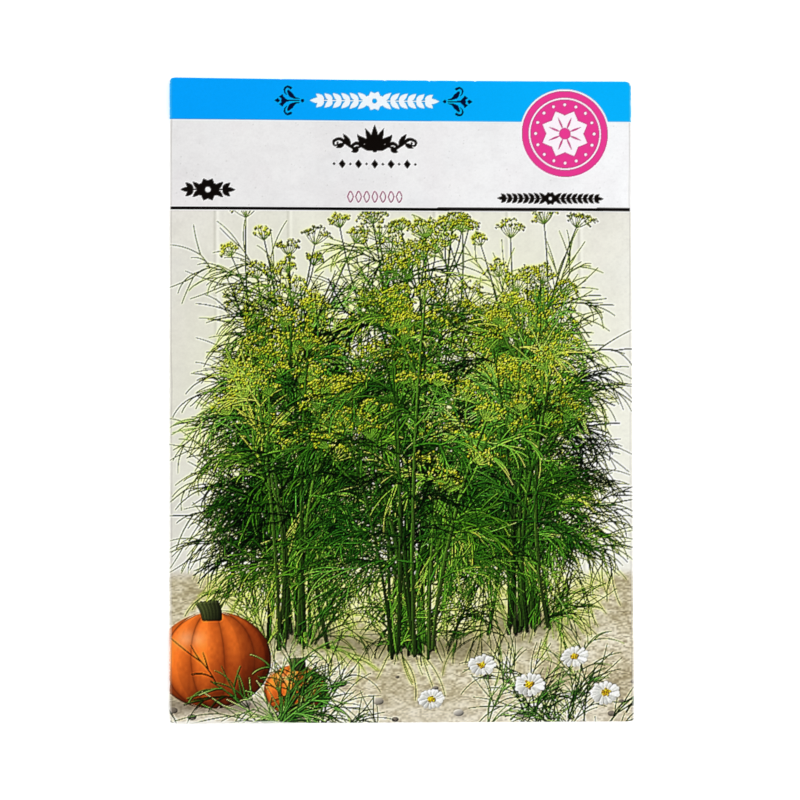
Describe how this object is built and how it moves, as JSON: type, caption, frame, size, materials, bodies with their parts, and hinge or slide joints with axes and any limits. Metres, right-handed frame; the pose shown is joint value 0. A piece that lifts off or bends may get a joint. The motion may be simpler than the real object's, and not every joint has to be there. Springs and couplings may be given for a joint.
{
  "type": "seed packet",
  "caption": "Sealed flat paper seed packet: a folded envelope with glued side seam and end flaps, its seeds lying loose inside.",
  "frame": {"origin": "on the surface that the packet lies on, under the middle of its outline", "axes": "+Y towards the packet's top edge, +Z out of its printed front, +X to the right seen from the front"},
  "size_m": [0.0826, 0.1142, 0.0022],
  "materials": {
    "coated_paper": "satin",
    "dried_glue": "satin",
    "seed_husk": "matte"
  },
  "bodies": {
    "root": {"paper_envelope": "coated_paper", "side_seam_glue": "dried_glue", "bottom_flap_glue": "dried_glue", "top_flap_glue": "dried_glue", "seed_heap": "seed_husk"}
  },
  "joints": []
}
